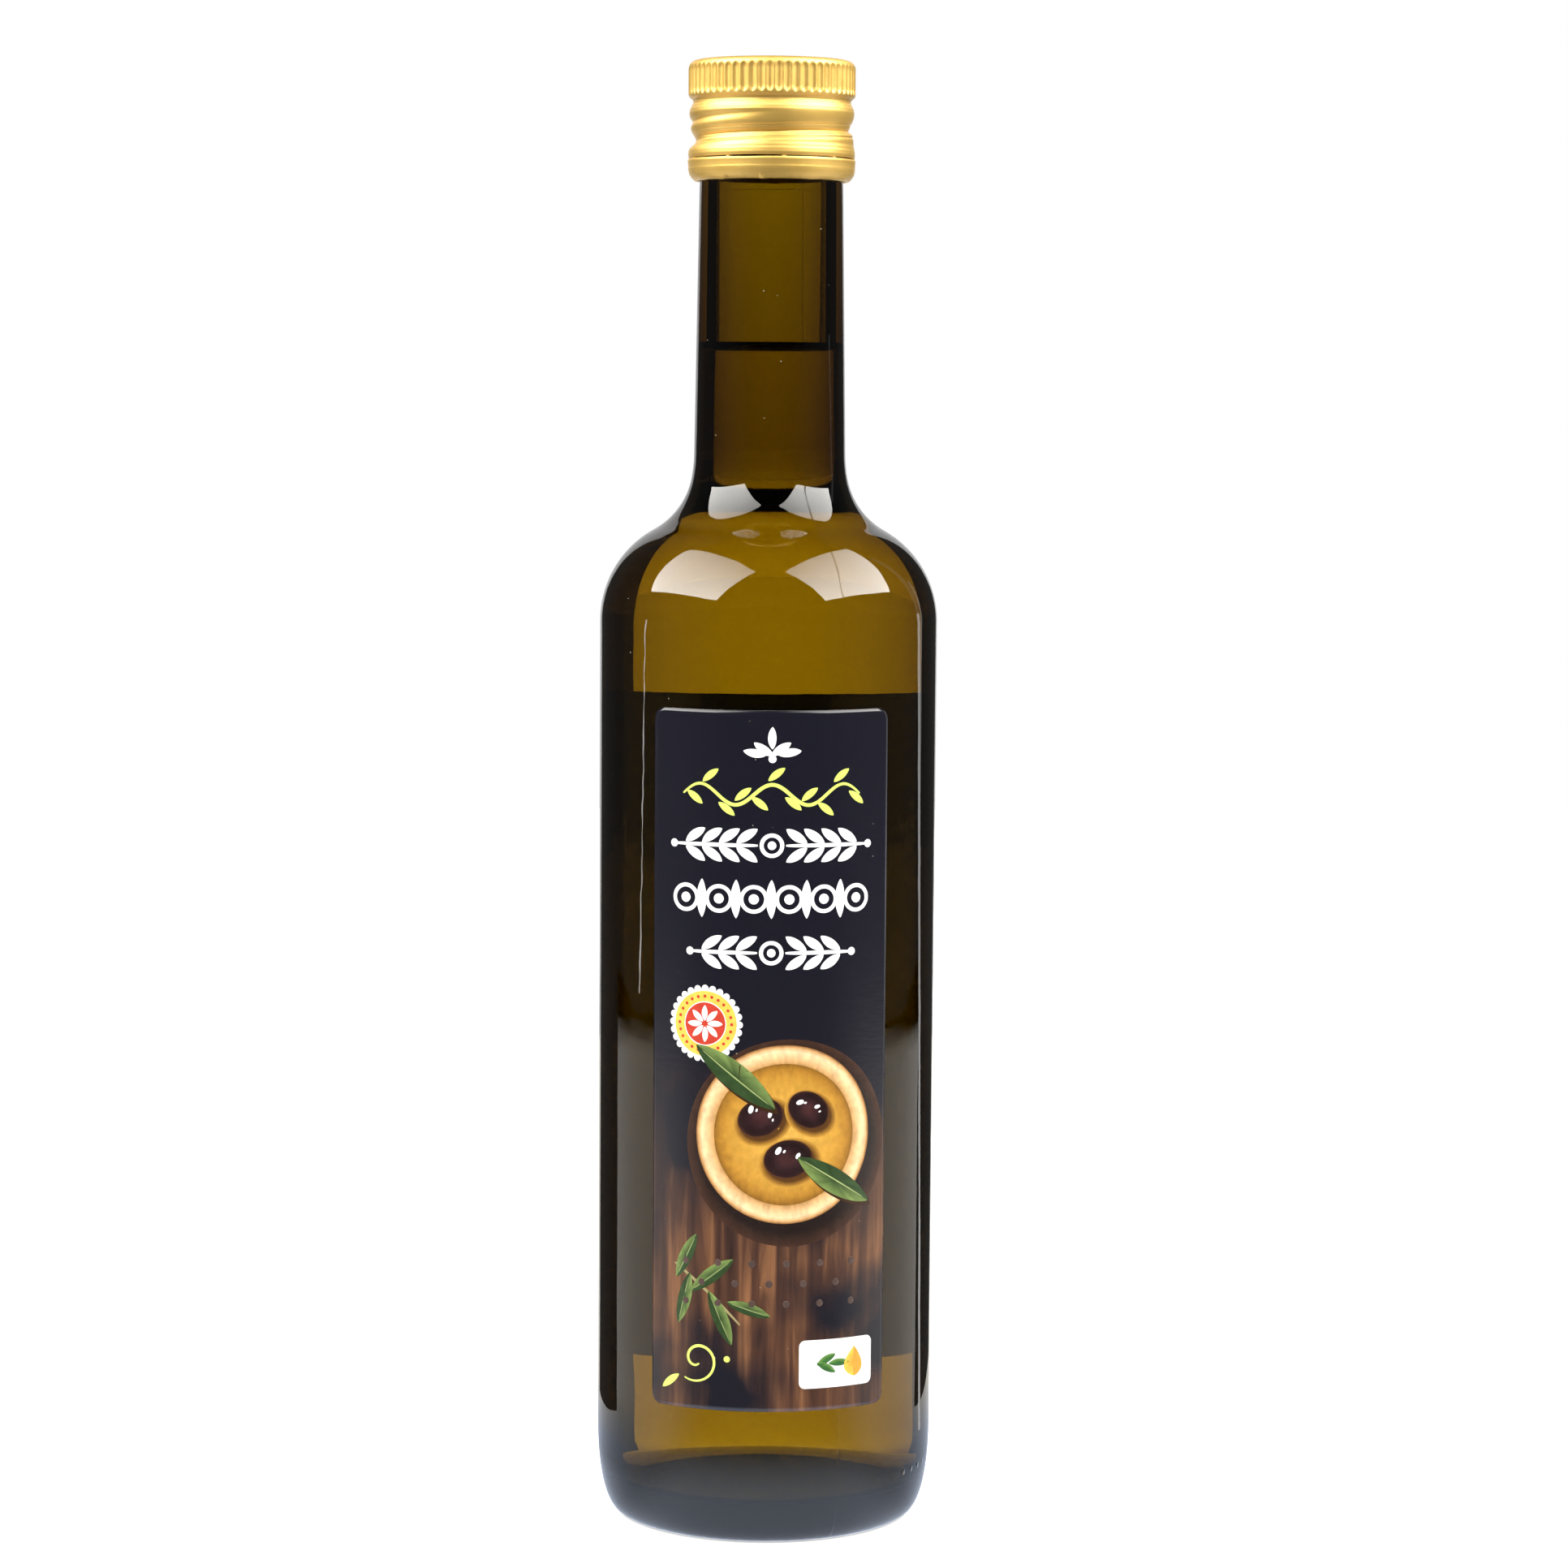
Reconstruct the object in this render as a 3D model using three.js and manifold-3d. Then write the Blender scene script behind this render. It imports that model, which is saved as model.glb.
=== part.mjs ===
// Olive oil bottle, 50 cl: dark glass, the oil in it, a rolled-on metal cap and two paper labels.
// Millimetres, +Z up, standing on z = 0 about the Z axis, the front label facing -Y.
import * as THREE from "three";
import { mergeVertices } from "three/addons/utils/BufferGeometryUtils.js";
import Module from "manifold-3d";

// Every turned piece has the same sides, so that a label lies flat on the glass behind it.
const SIDES = 60;

// Outside of the glass
const BODY_RADIUS = 32.2;
const HEEL_WIDTH = 5.2;
const HEEL_HEIGHT = 19.6;
const HEEL_POWER = 0.81;
const FOOT_INNER_RADIUS = 23.6;
const PUNT_HEIGHT = 9.5;
const SHOULDER_Z = 172.3;
const SHOULDER_RADIUS = 19.8;
const SHOULDER_TURN = 61;
const NECK_EASE_RADIUS = 28;
const NECK_EASE_TURN = 10;
const NECK_RADIUS = 14.4;
const NECK_TOP_Z = 253.5;
const NECK_TOP_RADIUS = 13.65;
const FINISH_RADIUS = 13.4;
const MOUTH_Z = 276.6;

// Inside of the glass
const BORE_RADIUS = 10.4;
const INNER_RADIUS = 29.6;
const INNER_FLOOR_Z = 7.1;
const INNER_FLOOR_RADIUS = 25;
const INNER_HEEL_Z = 9.3;
const DOME_HEIGHT = 13.6;
const INNER_SHOULDER_RADIUS = 17.2;

// Oil
const OIL_GAP = 0.3;
const OIL_LEVEL = 224;

// Cap
const CAP_TOP_Z = 278.1;
const CAP_TOP_WALL = 1.2;
const CAP_BORE_RADIUS = 14;
const CAP_RADIUS = 15.8;
const CAP_EDGE_RADIUS = 1.6;
const KNURL_BOTTOM_Z = 271.6;
const KNURL_TOP_Z = 277;
const KNURL_COUNT = 60;
const KNURL_CUTTER_RADIUS = 0.72;
const KNURL_DEPTH = 0.4;
const THREAD_TOP_Z = 266.4;
const THREAD_BOTTOM_Z = 261.9;
const THREAD_PITCH = 3;
const THREAD_DEPTH = 0.3;
const THREAD_RADIUS = 15.05;
const THREAD_ROWS = 7;
const SLIT_Z = 259.7;
const SLIT_HEIGHT = 0.5;
const BRIDGE_COUNT = 9;
const BRIDGE_ANGLE = 3.4;
const FIRST_BRIDGE_ANGLE = 7;
const BAND_RADIUS = 15.9;
const CAP_BOTTOM_Z = 255.5;

// Labels
const LABEL_HALF_ANGLE = 42;
const LABEL_BOTTOM_Z = 26;
const LABEL_TOP_Z = 157.4;
const LABEL_GAP = 0.08;
const LABEL_THICKNESS = 0.2;
const LABEL_CORNER = 2.2;

const wasm = await Module();
wasm.setup();

function degrees(angle) {
  return (angle * Math.PI) / 180;
}

// Points of an arc about (r, z), both ends included.
function arc(r, z, radius, from, to, steps) {
  const points = [];
  for (let i = 0; i <= steps; i++) {
    const angle = degrees(from + ((to - from) * i) / steps);
    points.push(new THREE.Vector2(r + radius * Math.cos(angle), z + radius * Math.sin(angle)));
  }
  return points;
}

// A shoulder: an outward arc from the body, an inward arc and a wider one that eases into the neck.
function shoulder(bodyRadius, neckRadius, bodyArc, steps) {
  const turn = degrees(SHOULDER_TURN);
  const easeTurn = degrees(NECK_EASE_TURN);
  const lowerAcross = bodyArc * (1 - Math.cos(turn));
  const easeAcross = NECK_EASE_RADIUS * (1 - Math.cos(easeTurn));
  const across = bodyRadius - neckRadius - lowerAcross - easeAcross;
  const neckArc = across / (Math.cos(easeTurn) - Math.cos(turn));
  const lower = arc(bodyRadius - bodyArc, SHOULDER_Z, bodyArc, 0, SHOULDER_TURN, steps);
  const neckArcR = lower[steps].x + neckArc * Math.cos(turn);
  const neckArcZ = lower[steps].y + neckArc * Math.sin(turn);
  const upper = arc(neckArcR, neckArcZ, neckArc, 180 + SHOULDER_TURN, 180 + NECK_EASE_TURN, steps - 1);
  const easeZ = neckArcZ + (NECK_EASE_RADIUS - neckArc) * Math.sin(easeTurn);
  return [...lower, ...upper.slice(1), new THREE.Vector2(neckRadius, easeZ)];
}

// A dome from the axis down to a point of the given radius.
function dome(height, edgeRadius, edgeZ, steps) {
  const drop = height - edgeZ;
  const radius = (edgeRadius * edgeRadius + drop * drop) / (2 * drop);
  const spread = (Math.asin(edgeRadius / radius) * 180) / Math.PI;
  const points = arc(0, height - radius, radius, 90, 90 - spread, steps);
  points[0].x = 0;
  return points;
}

// The heel between the foot and the straight wall.
function heel(steps) {
  const points = [];
  for (let i = 0; i <= steps; i++) {
    const angle = (i / steps) * (Math.PI / 2);
    const across = Math.pow(Math.sin(angle), HEEL_POWER);
    const down = i === steps ? 0 : Math.pow(Math.cos(angle), HEEL_POWER);
    const r = BODY_RADIUS - HEEL_WIDTH + HEEL_WIDTH * across;
    points.push(new THREE.Vector2(r, HEEL_HEIGHT * (1 - down)));
  }
  return points;
}

// The inside of the bottle from the middle of its floor up to the neck, moved inwards by inset.
function inside(inset) {
  const wall = INNER_RADIUS - inset;
  const across = wall - INNER_FLOOR_RADIUS;
  const floor = INNER_FLOOR_Z + inset;
  const corner = [];
  for (let i = 1; i <= 4; i++) {
    const angle = (i / 4) * (Math.PI / 2);
    const r = INNER_FLOOR_RADIUS + across * Math.sin(angle);
    const z = floor + (INNER_HEEL_Z - floor) * (1 - Math.cos(angle));
    corner.push(new THREE.Vector2(r, z));
  }
  const neck = BORE_RADIUS - inset;
  return [
    ...dome(DOME_HEIGHT + inset, INNER_FLOOR_RADIUS, floor, 4),
    ...corner,
    ...shoulder(wall, neck, INNER_SHOULDER_RADIUS - inset, 4),
  ];
}

// A profile turned about the Z axis. The first side starts at the front.
function turned(profile) {
  return new THREE.LatheGeometry(profile, SIDES).rotateX(Math.PI / 2);
}

// A flat shape pushed upwards from z = bottom.
function raised(shape, bottom, height, curveSegments) {
  const geometry = new THREE.ExtrudeGeometry(shape, { depth: height, bevelEnabled: false, curveSegments });
  return geometry.translate(0, 0, bottom);
}

function solid(geometry) {
  const bare = geometry.clone();
  bare.deleteAttribute("normal");
  bare.deleteAttribute("uv");
  const merged = mergeVertices(bare, 1e-4);
  const mesh = new wasm.Mesh({
    numProp: 3,
    vertProperties: new Float32Array(merged.attributes.position.array),
    triVerts: new Uint32Array(merged.index.array),
  });
  return new wasm.Manifold(mesh);
}

function geometryOf(body) {
  const mesh = body.getMesh();
  const geometry = new THREE.BufferGeometry();
  geometry.setAttribute("position", new THREE.BufferAttribute(mesh.vertProperties, 3));
  geometry.setIndex(new THREE.BufferAttribute(mesh.triVerts, 1));
  geometry.computeVertexNormals();
  return geometry;
}

// A ring sector on the XY plane, angles in degrees from the front towards +X.
function sector(innerRadius, outerRadius, from, to) {
  const shape = new THREE.Shape();
  shape.absarc(0, 0, outerRadius, degrees(from - 90), degrees(to - 90), false);
  shape.absarc(0, 0, innerRadius, degrees(to - 90), degrees(from - 90), true);
  shape.closePath();
  return shape;
}

// Glass: one hollow body, pushed up underneath, open at the mouth under the cap.
function glassBottle() {
  const outside = [
    ...dome(PUNT_HEIGHT, FOOT_INNER_RADIUS - 1.4, 1, 4),
    new THREE.Vector2(FOOT_INNER_RADIUS, 0),
    ...heel(6),
    ...shoulder(BODY_RADIUS, NECK_RADIUS, SHOULDER_RADIUS, 6),
    new THREE.Vector2(NECK_TOP_RADIUS, NECK_TOP_Z),
    new THREE.Vector2(FINISH_RADIUS, NECK_TOP_Z + 0.6),
    new THREE.Vector2(FINISH_RADIUS, MOUTH_Z - 0.6),
    new THREE.Vector2(FINISH_RADIUS - 0.6, MOUTH_Z),
    new THREE.Vector2(BORE_RADIUS + 0.6, MOUTH_Z),
    new THREE.Vector2(BORE_RADIUS, MOUTH_Z - 0.6),
  ];
  return turned([...outside, ...inside(0).reverse()]);
}

// Oil: fills the bottle up to a level in the neck.
function oil() {
  return turned([
    ...inside(OIL_GAP),
    new THREE.Vector2(BORE_RADIUS - OIL_GAP, OIL_LEVEL),
    new THREE.Vector2(0, OIL_LEVEL),
  ]);
}

// The rows of the cap wall that take the thread, from the lowest up.
function threadRows() {
  const rows = [];
  for (let i = 0; i <= THREAD_ROWS; i++) {
    const z = THREAD_BOTTOM_Z + ((THREAD_TOP_Z - THREAD_BOTTOM_Z) * i) / THREAD_ROWS;
    rows.push(new THREE.Vector2(THREAD_RADIUS, z));
  }
  return rows;
}

// The thread shows through the cap wall as a winding swell, rising to the right.
function pressThread(geometry) {
  const position = geometry.attributes.position;
  for (let i = 0; i < position.count; i++) {
    const x = position.getX(i);
    const y = position.getY(i);
    const z = position.getZ(i);
    const r = Math.hypot(x, y);
    const inRows = z < THREAD_TOP_Z - 0.01 && z > THREAD_BOTTOM_Z + 0.01;
    if (inRows && r > CAP_BORE_RADIUS + 0.5) {
      const turns = Math.atan2(x, -y) / (2 * Math.PI);
      const wave = Math.cos(2 * Math.PI * ((z - THREAD_TOP_Z) / THREAD_PITCH - turns));
      const scale = (r + THREAD_DEPTH * wave) / r;
      position.setXY(i, x * scale, y * scale);
    }
  }
  return geometry;
}

// Cap: a cup over the mouth, knurled at the top, threaded below, with a tear-off band on bridges.
function cap() {
  const edge = CAP_EDGE_RADIUS;
  const profile = [
    new THREE.Vector2(0, CAP_TOP_Z - CAP_TOP_WALL),
    new THREE.Vector2(CAP_BORE_RADIUS, CAP_TOP_Z - CAP_TOP_WALL),
    new THREE.Vector2(CAP_BORE_RADIUS, CAP_BOTTOM_Z),
    new THREE.Vector2(CAP_BORE_RADIUS + 0.5, CAP_BOTTOM_Z),
    new THREE.Vector2(BAND_RADIUS - 0.5, CAP_BOTTOM_Z + 0.7),
    new THREE.Vector2(BAND_RADIUS, CAP_BOTTOM_Z + 1.6),
    new THREE.Vector2(BAND_RADIUS, CAP_BOTTOM_Z + 3),
    new THREE.Vector2(CAP_RADIUS, SLIT_Z - 0.6),
    new THREE.Vector2(CAP_RADIUS, SLIT_Z + 0.8),
    new THREE.Vector2(CAP_RADIUS - 0.2, THREAD_BOTTOM_Z - 0.7),
    ...threadRows(),
    new THREE.Vector2(CAP_RADIUS - 0.4, THREAD_TOP_Z + 0.8),
    new THREE.Vector2(CAP_RADIUS - 0.4, KNURL_BOTTOM_Z - 2.2),
    new THREE.Vector2(CAP_RADIUS - 0.75, KNURL_BOTTOM_Z - 1.2),
    new THREE.Vector2(CAP_RADIUS - 0.3, KNURL_BOTTOM_Z - 0.4),
    new THREE.Vector2(CAP_RADIUS, KNURL_BOTTOM_Z),
    ...arc(CAP_RADIUS - edge, CAP_TOP_Z - edge, edge, 0, 90, 4),
    new THREE.Vector2(0, CAP_TOP_Z),
  ];
  const cutters = [];
  const flute = new THREE.CylinderGeometry(
    KNURL_CUTTER_RADIUS, KNURL_CUTTER_RADIUS, KNURL_TOP_Z - KNURL_BOTTOM_Z, 6);
  flute.rotateX(Math.PI / 2);
  flute.translate(0, -CAP_RADIUS + KNURL_DEPTH - KNURL_CUTTER_RADIUS, (KNURL_TOP_Z + KNURL_BOTTOM_Z) / 2);
  for (let i = 0; i < KNURL_COUNT; i++) {
    cutters.push(solid(flute.clone().rotateZ(degrees((360 * (i + 0.5)) / KNURL_COUNT))));
  }
  const slitAngle = 360 / BRIDGE_COUNT - BRIDGE_ANGLE;
  const slit = raised(sector(CAP_BORE_RADIUS - 0.5, BAND_RADIUS + 1, 0, slitAngle),
    SLIT_Z - SLIT_HEIGHT / 2, SLIT_HEIGHT, 3);
  for (let i = 0; i < BRIDGE_COUNT; i++) {
    const start = FIRST_BRIDGE_ANGLE + BRIDGE_ANGLE / 2 + (360 * i) / BRIDGE_COUNT;
    cutters.push(solid(slit.clone().rotateZ(degrees(start))));
  }
  const shell = solid(pressThread(turned(profile)));
  return geometryOf(shell.subtract(wasm.Manifold.union(cutters)));
}

// Label: a paper skin on the round of the body with rounded corners, turned to the front or the back.
function label(turn) {
  const inner = BODY_RADIUS + LABEL_GAP;
  const outer = inner + LABEL_THICKNESS;
  const halfSides = (LABEL_HALF_ANGLE * SIDES) / 360;
  const skin = raised(sector(inner, outer, -LABEL_HALF_ANGLE, LABEL_HALF_ANGLE),
    LABEL_BOTTOM_Z, LABEL_TOP_Z - LABEL_BOTTOM_Z, halfSides);
  const halfWidth = inner * Math.sin(degrees(LABEL_HALF_ANGLE));
  const left = -halfWidth + LABEL_CORNER;
  const right = halfWidth - LABEL_CORNER;
  const low = LABEL_BOTTOM_Z + LABEL_CORNER;
  const high = LABEL_TOP_Z - LABEL_CORNER;
  const outline = new THREE.Shape();
  outline.absarc(right, low, LABEL_CORNER, degrees(-90), 0, false);
  outline.absarc(right, high, LABEL_CORNER, 0, degrees(90), false);
  outline.absarc(left, high, LABEL_CORNER, degrees(90), degrees(180), false);
  outline.absarc(left, low, LABEL_CORNER, degrees(180), degrees(270), false);
  outline.closePath();
  const block = raised(outline, 0, 2 * BODY_RADIUS, 3).rotateX(Math.PI / 2);
  return geometryOf(solid(skin).intersect(solid(block))).rotateZ(degrees(turn));
}

function piece(name, geometry, settings) {
  const mesh = new THREE.Mesh(geometry, new THREE.MeshStandardMaterial(settings));
  mesh.name = name;
  return mesh;
}

const bottle = new THREE.Group();
bottle.name = "olive_oil_bottle";
bottle.add(piece("glass_bottle", glassBottle(), {
  color: 0x4a3a08, roughness: 0.05, metalness: 0, transparent: true, opacity: 0.5,
}));
bottle.add(piece("oil", oil(), { color: 0xb98d12, roughness: 0.1, metalness: 0 }));
bottle.add(piece("cap", cap(), { color: 0xdcb552, roughness: 0.35, metalness: 0.9 }));
bottle.add(piece("front_label", label(0), { color: 0x2b2d3c, roughness: 0.6, metalness: 0 }));
bottle.add(piece("back_label", label(180), { color: 0x2b2d3c, roughness: 0.6, metalness: 0 }));

export default bottle;
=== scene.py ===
import math
import random
import bpy
import bmesh
from mathutils import Matrix, Vector, noise


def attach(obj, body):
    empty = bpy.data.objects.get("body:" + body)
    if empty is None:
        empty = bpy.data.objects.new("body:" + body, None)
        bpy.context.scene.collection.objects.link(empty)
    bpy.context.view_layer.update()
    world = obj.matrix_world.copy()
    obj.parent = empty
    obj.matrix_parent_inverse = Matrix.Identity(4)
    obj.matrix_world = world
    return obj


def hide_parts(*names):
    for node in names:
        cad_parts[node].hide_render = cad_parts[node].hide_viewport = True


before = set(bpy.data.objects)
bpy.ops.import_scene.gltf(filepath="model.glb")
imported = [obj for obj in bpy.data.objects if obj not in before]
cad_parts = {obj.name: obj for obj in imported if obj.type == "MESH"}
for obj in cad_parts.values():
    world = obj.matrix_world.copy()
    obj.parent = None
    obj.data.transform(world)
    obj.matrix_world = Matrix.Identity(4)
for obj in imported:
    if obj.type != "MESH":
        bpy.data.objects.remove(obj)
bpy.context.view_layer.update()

scene = bpy.context.scene


# Camera: it stands at the height of the oil in the neck, a touch to the left of the front label's
# middle, and looks slightly down. The frame is square.
CAMERA_DISTANCE = 0.8276
CAMERA_HEIGHT = 0.2163
CAMERA_AZIMUTH = -1.6
CAMERA_PITCH = 5.206
CAMERA_ROLL = 0.382
CAMERA_LENS = 99.42
CAMERA_SENSOR = 36
CAMERA_SHIFT = 0.01054
CAMERA_NEAREST = 0.01

camera_data = bpy.data.cameras.new("camera")
camera_data.sensor_width = CAMERA_SENSOR
camera_data.lens = CAMERA_LENS
camera_data.shift_x = CAMERA_SHIFT
camera_data.clip_start = CAMERA_NEAREST
camera = bpy.data.objects.new("camera", camera_data)
scene.collection.objects.link(camera)
camera.matrix_world = (
    Matrix.Rotation(math.radians(CAMERA_AZIMUTH), 4, "Z")
    @ Matrix.Translation((0, -CAMERA_DISTANCE, CAMERA_HEIGHT))
    @ Matrix.Rotation(math.radians(90 - CAMERA_PITCH), 4, "X")
    @ Matrix.Rotation(math.radians(CAMERA_ROLL), 4, "Z")
)
scene.camera = camera
scene.view_settings.view_transform = "Standard"


# Softboxes: two broad lamps high in front, one on each side. They show as window shapes on the
# shoulder and on the foot of the neck, brighter towards their lower edge.
SOFTBOX_PLACE = (0.632, -0.223, 0.922)
SOFTBOX_AIM = (0, 0, 0.18)
SOFTBOX_SIZE = (1.04, 0.78)
SOFTBOX_ROLL = -5
SOFTBOX_BRIGHTNESS = 9.4
SOFTBOX_LEVELS = (1.42, 0.5)
SOFTBOX_TINT = (1.0, 0.98, 0.93)


def feed(tree, node, feeds):
    for socket, value in feeds.items():
        if isinstance(value, bpy.types.NodeSocket):
            tree.links.new(value, node.inputs[socket])
        else:
            node.inputs[socket].default_value = value


def add_node(tree, kind, feeds=None, **settings):
    node = tree.nodes.new("ShaderNode" + kind)
    for name, value in settings.items():
        setattr(node, name, value)
    feed(tree, node, feeds or {})
    return node.outputs


def graded(tree, value, reach, levels=(0, 1), smooth=False):
    return add_node(tree, "MapRange", {
        "Value": value, "From Min": reach[0], "From Max": reach[1],
        "To Min": levels[0], "To Max": levels[1],
    }, interpolation_type="SMOOTHSTEP" if smooth else "LINEAR")["Result"]


for side, name in ((-1, "softbox_left"), (1, "softbox_right")):
    lamp = bpy.data.lights.new(name, "AREA")
    lamp.shape = "RECTANGLE"
    lamp.size = SOFTBOX_SIZE[0]
    lamp.size_y = SOFTBOX_SIZE[1]
    lamp.energy = SOFTBOX_BRIGHTNESS * math.pi * lamp.size * lamp.size_y
    lamp.color = SOFTBOX_TINT
    lamp.use_nodes = True
    lamp_tree = lamp.node_tree
    lamp_place = add_node(lamp_tree, "NewGeometry")["Parametric"]
    lamp_up = add_node(lamp_tree, "SeparateXYZ", {"Vector": lamp_place})["Y"]
    lamp_level = graded(lamp_tree, lamp_up, (0, 1), SOFTBOX_LEVELS)
    feed(lamp_tree, lamp_tree.nodes["Emission"], {"Strength": lamp_level})
    softbox = bpy.data.objects.new(name, lamp)
    scene.collection.objects.link(softbox)
    place = Vector((side * SOFTBOX_PLACE[0], SOFTBOX_PLACE[1], SOFTBOX_PLACE[2]))
    turn = (Vector(SOFTBOX_AIM) - place).to_track_quat("-Z", "Y").to_matrix().to_4x4()
    roll = Matrix.Rotation(math.radians(side * SOFTBOX_ROLL), 4, "Z")
    softbox.matrix_world = Matrix.Translation(place) @ turn @ roll
    softbox.visible_camera = False
    softbox.visible_transmission = False


# Room: white to the camera, dark to the gloss of the glass, and bright low down behind what is seen
# through the glass from other sides.
ROOM_IN_GLOSS = (0.012, 0.07)
ROOM_THROUGH_GLASS = (0.9, 0.12)
ROOM_SIDE_GAIN = (1, 2)


def maths(tree, operation, *values):
    return add_node(tree, "Math", dict(enumerate(values)), operation=operation)["Value"]


world = bpy.data.worlds.new("room")
scene.world = world
world.use_nodes = True
room = world.node_tree
room_path = add_node(room, "LightPath")
room_way = add_node(room, "TexCoord")["Generated"]
room_axes = add_node(room, "SeparateXYZ", {"Vector": room_way})
room_side = maths(room, "ABSOLUTE", room_axes["X"])
room_dim = graded(room, room_side, (0.5, 0.95), ROOM_IN_GLOSS)
room_high = graded(room, room_axes["Z"], (0.35, 0.7), ROOM_THROUGH_GLASS)
room_wall = graded(room, room_side, (0.75, 0.95), ROOM_SIDE_GAIN)
room_bright = maths(room, "MULTIPLY", room_high, room_wall)
room_through = add_node(room, "Mix", {
    "Factor": room_path["Is Transmission Ray"], "A": room_dim, "B": room_bright,
})["Result"]
room_seen = add_node(room, "Mix", {
    "Factor": room_path["Is Camera Ray"], "A": room_through, "B": 1.0,
})["Result"]
feed(room, room.nodes["Background"], {"Color": (1, 1, 1, 1), "Strength": room_seen})


# Table and cards: a white table top, a white backdrop, and two black cards close behind the bottle,
# left and right, that give the glass its dark edges. Thin glowing strips beside them show only in
# gloss: painted reflections that appear as fine light lines on the glass.
TABLE = ((-1.2, -1.0, 0), (2.4, 0, 0), (0, 2.4, 0))
TABLE_PAINT = (0.6, 0.6, 0.61, 1)
TABLE_GLOW = (1.3, 2.1)
TABLE_GLEAM = ((-0.7, -0.7, -0.0005), (1.4, 0, 0), (0, 1.4, 0))
GLEAM_WARM = (1.0, 0.97, 0.90, 1)
GLEAM_COOL = (0.84, 0.94, 1.14, 1)
BACKDROP = ((-0.9, 0.6, 0), (1.8, 0, 0), (0, 0, 0.56))
BACKDROP_GLOW = 2.3
BACKDROP_GLEAM_GLOW = 0.75
CARD_GLOW = 0.05
BLACK_CARDS = (
    ("black_card_left", ((-0.063, 0.092, 0), (-0.042, -0.055, 0), (0, 0, 0.42))),
    ("black_card_right", ((0.072, 0.126, 0), (0.0315, -0.0825, 0), (0, 0, 0.42))),
)
FOOT_CARD_GLOW = 0.02
FOOT_CARDS = (
    ("black_foot_left", ((-0.0112, 0.0475, 0.0002), (-0.042, -0.050, 0), (-0.0515, 0.0443, 0.06))),
    ("black_foot_right", ((0.0085, 0.0508, 0.0002), (0.045, -0.055, 0), (0.0645, 0.0758, 0.06))),
)
STRIPS = (
    ("edge_strip", ((0.0685, 0.0325, 0.003), (0.0024, -0.0032, 0), (0.0095, -0.015, 0.175)), 2, 1),
    ("edge_strip_top", ((0.078, 0.0175, 0.178), (0.0024, -0.0032, 0), (-0.022, -0.0148, 0.050)), 0.3, 1),
    ("left_gap", ((-0.083, -0.0190, 0.175), (0, 0.0011, 0), (0, 0.0065, -0.080)), 6, 90),
)


def new_material(name, looks):
    material = bpy.data.materials.new(name)
    material.use_nodes = True
    shader = material.node_tree.nodes["Principled BSDF"]
    feed(material.node_tree, shader, looks)
    return material, material.node_tree, shader


def stage_card(name, corners, brightness, parts=1):
    form = bmesh.new()
    bmesh.ops.create_grid(form, x_segments=1, y_segments=parts, size=0.5)
    low, along, up = (Vector(c) for c in corners)
    for v in form.verts:
        v.co = low + along * (v.co.x + 0.5) + up * (v.co.y + 0.5)
    mesh = bpy.data.meshes.new(name)
    form.to_mesh(mesh)
    form.free()
    paint, _, _ = new_material(name, {
        "Base Color": (0, 0, 0, 1), "Specular IOR Level": 0,
        "Emission Color": (1, 1, 1, 1), "Emission Strength": brightness,
    })
    mesh.materials.append(paint)
    card = bpy.data.objects.new(name, mesh)
    scene.collection.objects.link(card)
    card.visible_camera = False
    card.visible_diffuse = False
    card.visible_shadow = False
    return card


def flat_reach(tree, place):
    return add_node(tree, "VectorMath", {0: place}, operation="LENGTH")["Value"]


def blend(tree, factor, first, second):
    return add_node(tree, "Mix", {"Factor": factor, "A": first, "B": second}, data_type="RGBA")["Result"]


table = stage_card("table", TABLE, 1)
table.visible_camera = True
table.visible_diffuse = True
table.visible_shadow = True
table.visible_glossy = False
table_tree = table.active_material.node_tree
# The table glows by itself, more the farther it is from the bottle, so that it shows evenly white: painted
# light. Under the bottle's foot it does not glow: painted shade.
table_reach = flat_reach(table_tree, add_node(table_tree, "TexCoord")["Object"])
table_glow = graded(table_tree, table_reach, (0.06, 0.40), TABLE_GLOW)
table_shade_under_foot = graded(table_tree, table_reach, (0.024, 0.034))
feed(table_tree, table_tree.nodes["Principled BSDF"], {
    "Base Color": TABLE_PAINT, "Roughness": 0.9,
    "Emission Strength": maths(table_tree, "MULTIPLY", table_glow, table_shade_under_foot),
})

# A glowing card just under the table shows only in gloss. It is a painted reflection of the table: dim
# straight ahead, bright to the sides, and cool and bright close round the foot.
gleam = stage_card("table_gleam", TABLE_GLEAM, 1)
gleam.visible_transmission = False
gleam_tree = gleam.active_material.node_tree
gleam_place = add_node(gleam_tree, "TexCoord")["Object"]
gleam_axes = add_node(gleam_tree, "SeparateXYZ", {"Vector": gleam_place})
gleam_back = maths(gleam_tree, "MULTIPLY", gleam_axes["Y"], -1)
gleam_turn = maths(gleam_tree, "ARCTAN2", gleam_axes["X"], gleam_back)
gleam_side = maths(gleam_tree, "ABSOLUTE", gleam_turn)
gleam_sides = graded(gleam_tree, gleam_side, (0.6, 1.3), (0.15, 1.15), smooth=True)
gleam_front = graded(gleam_tree, gleam_side, (0.7, 1.4), (1, 0.5), smooth=True)
gleam_reach = flat_reach(gleam_tree, gleam_place)
gleam_edge = graded(gleam_tree, gleam_reach, (0.62, 0.69), (1, 0))
gleam_close = graded(gleam_tree, gleam_reach, (0.05, 0.14), (0.55, 1))
gleam_near = graded(gleam_tree, gleam_reach, (0.045, 0.12), (1.75, 0))
gleam_faded = maths(gleam_tree, "MULTIPLY", gleam_sides, gleam_edge)
gleam_far = maths(gleam_tree, "MULTIPLY", gleam_faded, gleam_close)
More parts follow.
